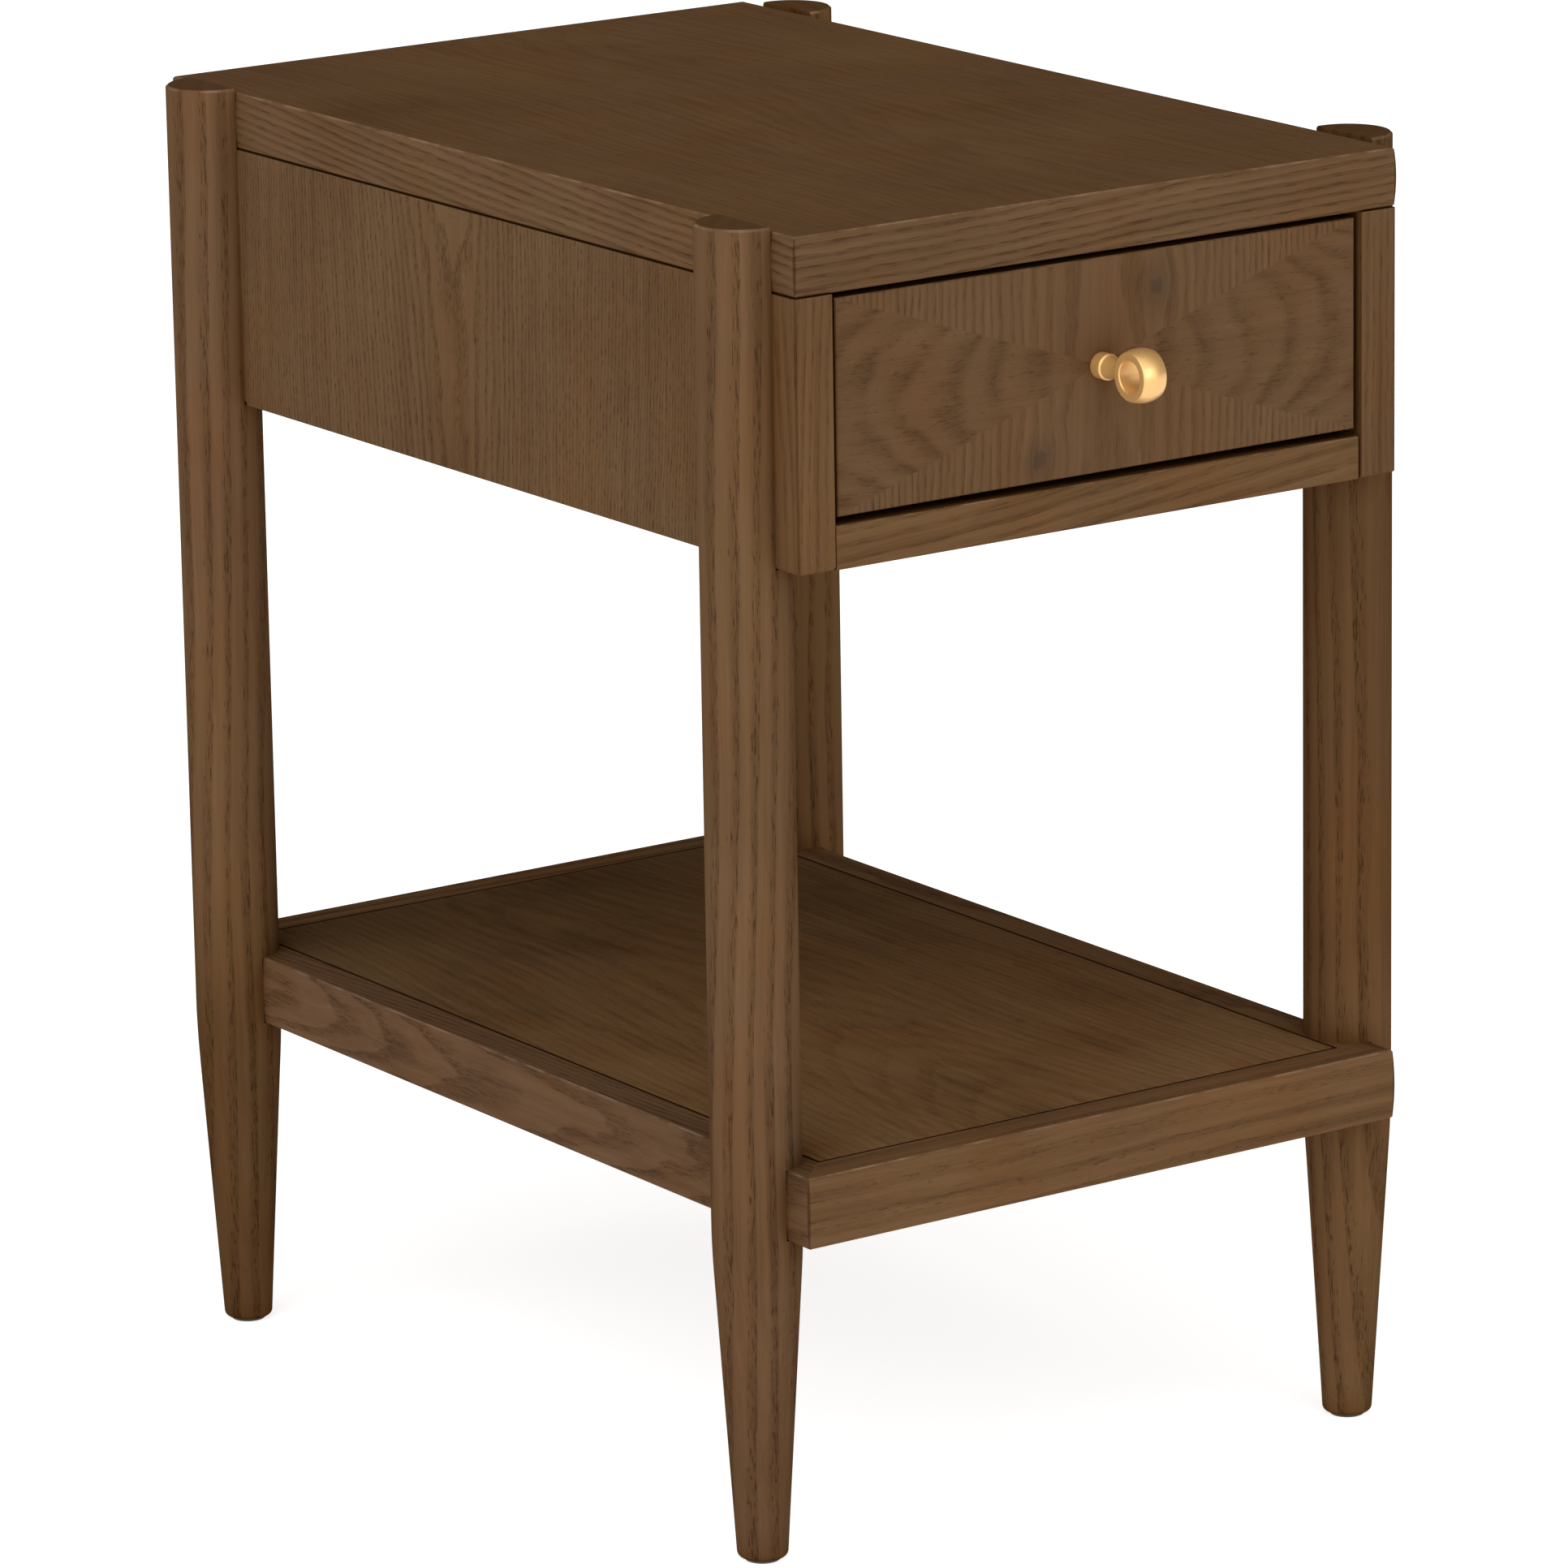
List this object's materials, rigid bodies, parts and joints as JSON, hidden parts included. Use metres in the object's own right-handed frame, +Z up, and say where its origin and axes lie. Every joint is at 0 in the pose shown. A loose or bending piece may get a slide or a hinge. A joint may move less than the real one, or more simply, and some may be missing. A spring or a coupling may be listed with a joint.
{
  "type": "side table with drawer",
  "caption": "Narrow oak side table with round tapered legs set outside the case, one drawer with a brass ring knob, and a framed lower shelf.",
  "frame": {"origin": "on the floor, midway between the left and right legs and midway between the front of the knob and the back of the table", "axes": "+Z up, +X to the table's right-hand side seen from the front, -Y the way the drawer opens"},
  "size_m": [0.3995, 0.591, 0.65],
  "materials": {
    "stained_oak": "medium brown stained oak with open pores, satin lacquer",
    "drawer_oak": "pale clear lacquered oak",
    "board": "veneered board, matt",
    "zinc_steel": "bright zinc plate",
    "satin_brass": "satin brushed",
    "glide_plastic": "matt"
  },
  "bodies": {
    "table": {"tabletop_veneer": "stained_oak", "tabletop_edge_front": "stained_oak", "tabletop_edge_back": "stained_oak", "tabletop_edge_left": "stained_oak", "tabletop_edge_right": "stained_oak", "leg_front_left": "stained_oak", "leg_front_right": "stained_oak", "leg_back_left": "stained_oak", "leg_back_right": "stained_oak", "post_front_left": "stained_oak", "post_front_right": "stained_oak", "post_back_left": "stained_oak", "post_back_right": "stained_oak", "side_panel_left": "stained_oak", "side_panel_right": "stained_oak", "back_panel": "stained_oak", "drawer_rail": "stained_oak", "shelf_rail_front": "stained_oak", "shelf_rail_back": "stained_oak", "shelf_rail_left": "stained_oak", "shelf_rail_right": "stained_oak", "shelf_panel": "stained_oak", "top_rail_front": "drawer_oak", "top_rail_back": "drawer_oak", "top_cleat_left": "drawer_oak", "top_cleat_right": "drawer_oak", "slide_spacer_left": "drawer_oak", "slide_spacer_right": "drawer_oak", "case_dowels": "drawer_oak", "tabletop_panel": "board", "case_bottom": "board", "slide_case_left": "zinc_steel", "slide_case_right": "zinc_steel", "leg_bolts": "zinc_steel", "tabletop_screws": "zinc_steel", "slide_case_screws": "zinc_steel", "leg_glides": "glide_plastic"},
    "drawer": {"drawer_front": "stained_oak", "drawer_front_veneer": "stained_oak", "drawer_box_front": "drawer_oak", "drawer_side_left": "drawer_oak", "drawer_side_right": "drawer_oak", "drawer_back": "drawer_oak", "drawer_bottom": "board", "knob": "satin_brass", "knob_screw": "zinc_steel", "drawer_front_screws": "zinc_steel", "slide_drawer_left": "zinc_steel", "slide_drawer_right": "zinc_steel", "slide_drawer_screws": "zinc_steel"},
    "slide_middles": {"slide_middle_left": "zinc_steel", "slide_middle_right": "zinc_steel"},
    "ball_cages_outer": {"ball_cage_outer_left": "zinc_steel", "ball_cage_outer_right": "zinc_steel"},
    "ball_cages_inner": {"ball_cage_inner_left": "zinc_steel", "ball_cage_inner_right": "zinc_steel"}
  },
  "joints": [
    {"name": "drawer_slide", "type": "slide", "parent": "table", "child": "drawer", "axis": [0, -1, 0], "range_m": [0, 0.45]},
    {"name": "slide_middle_run", "type": "slide", "parent": "table", "child": "slide_middles", "axis": [0, -1, 0], "range_m": [0, 0.225]},
    {"name": "ball_cage_outer_run", "type": "slide", "parent": "table", "child": "ball_cages_outer", "axis": [0, -1, 0], "range_m": [0, 0.1125]},
    {"name": "ball_cage_inner_run", "type": "slide", "parent": "table", "child": "ball_cages_inner", "axis": [0, -1, 0], "range_m": [0, 0.3375]}
  ],
  "couplings": [
    {"joint": "slide_middle_run", "follows": "drawer_slide", "ratio": 0.5},
    {"joint": "ball_cage_outer_run", "follows": "drawer_slide", "ratio": 0.25},
    {"joint": "ball_cage_inner_run", "follows": "drawer_slide", "ratio": 0.75}
  ]
}
